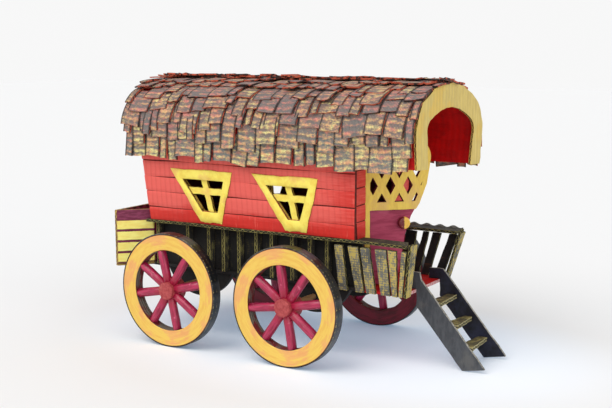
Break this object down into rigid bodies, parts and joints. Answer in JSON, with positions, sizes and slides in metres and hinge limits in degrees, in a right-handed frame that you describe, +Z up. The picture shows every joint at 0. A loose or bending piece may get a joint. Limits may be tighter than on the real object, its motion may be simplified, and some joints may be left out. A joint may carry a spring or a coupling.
{
  "type": "toy living wagon",
  "caption": "Card model of a bow-topped living wagon with a shingled roof, trapezoid windows, lattice door, porch, steps, rear crate and spoked wheels.",
  "frame": {"origin": "middle of the footprint, on the ground under the wheels", "axes": "+X towards the porch and steps (front), -Y the side seen in the picture, +Z up"},
  "size_m": [0.4146, 0.207, 0.2829],
  "materials": {
    "planks_red": "plank-scored card, brushed with thin coral and deep red paint",
    "window_yellow": "painted light yellow, cut edges show the flutes",
    "shingle_grey": "torn card, dark grey dry-brushed with yellow and salmon",
    "roof_red": "deep red paint",
    "fascia_ochre": "pale ochre paint over card",
    "body_black": "black paint dry-brushed with olive yellow",
    "floor_red": "red paint",
    "wheel_yellow": "yellow paint with orange streaks",
    "tyre_black": "near-black paper band",
    "hub_brick": "rolled paper, brick red",
    "spoke_magenta": "rolled paper tubes, glossy magenta",
    "axle_wood": "plain round stick",
    "door_yellow": "painted yellow",
    "door_magenta": "painted dark magenta",
    "knob_two_tone": "rolled disc, half yellow and half dark red",
    "step_grey": "dark grey paint",
    "tread_olive": "olive paint over black",
    "crate_magenta": "dull magenta paint",
    "crate_yellow": "pale yellow paint"
  },
  "bodies": {
    "wagon": {"axle_front": "axle_wood", "axle_rear": "axle_wood", "bracket_front_far": "body_black", "bracket_front_near": "body_black", "bracket_rear_far": "body_black", "bracket_rear_near": "body_black", "crate_back": "crate_magenta", "crate_boards_far": "crate_yellow", "crate_boards_near": "crate_yellow", "crate_floor": "crate_magenta", "crate_side_far": "crate_magenta", "crate_side_near": "crate_magenta", "fascia_front": "fascia_ochre", "fascia_rear": "fascia_ochre", "floor": "floor_red", "front_wall": "planks_red", "ledge_far": "body_black", "ledge_near": "body_black", "low_wall_far": "body_black", "low_wall_near": "body_black", "post_far": "body_black", "post_near": "body_black", "rear_wall": "planks_red", "ribs_far": "body_black", "ribs_near": "body_black", "ridge_caps": "shingle_grey", "roof_shell": "roof_red", "shingles_far": "shingle_grey", "shingles_near": "shingle_grey", "side_wall_far": "planks_red", "side_wall_near": "planks_red", "slats_far": "body_black", "slats_near": "body_black", "stringer_far": "step_grey", "stringer_near": "step_grey", "treads": "tread_olive", "window_front_far": "window_yellow", "window_front_near": "window_yellow", "window_rear_far": "window_yellow", "window_rear_near": "window_yellow"},
    "wheel_front_near": {"rim_front_near": "wheel_yellow", "tyre_front_near": "tyre_black", "hub_front_near": "hub_brick", "spokes_front_near": "spoke_magenta"},
    "wheel_front_far": {"rim_front_far": "wheel_yellow", "tyre_front_far": "tyre_black", "hub_front_far": "hub_brick", "spokes_front_far": "spoke_magenta"},
    "wheel_rear_near": {"rim_rear_near": "wheel_yellow", "tyre_rear_near": "tyre_black", "hub_rear_near": "hub_brick", "spokes_rear_near": "spoke_magenta"},
    "wheel_rear_far": {"rim_rear_far": "wheel_yellow", "tyre_rear_far": "tyre_black", "hub_rear_far": "hub_brick", "spokes_rear_far": "spoke_magenta"},
    "door": {"door_board": "door_magenta", "door_knob": "knob_two_tone", "door_lattice": "door_yellow"}
  },
  "joints": [
    {"name": "wheel_front_near_spin", "type": "hinge", "parent": "wagon", "child": "wheel_front_near", "pos_m": [0.03035, 0, 0.06], "axis": [0, 1, 0], "continuous": true},
    {"name": "wheel_front_far_spin", "type": "hinge", "parent": "wagon", "child": "wheel_front_far", "pos_m": [0.03035, 0, 0.06], "axis": [0, 1, 0], "continuous": true},
    {"name": "wheel_rear_near_spin", "type": "hinge", "parent": "wagon", "child": "wheel_rear_near", "pos_m": [-0.11365, 0, 0.06], "axis": [0, 1, 0], "continuous": true},
    {"name": "wheel_rear_far_spin", "type": "hinge", "parent": "wagon", "child": "wheel_rear_far", "pos_m": [-0.11365, 0, 0.06], "axis": [0, 1, 0], "continuous": true},
    {"name": "door_swing", "type": "hinge", "parent": "wagon", "child": "door", "pos_m": [0.08535, -0.0365, 0.15], "axis": [0, 0, -1], "range_deg": [-45, 45]}
  ]
}
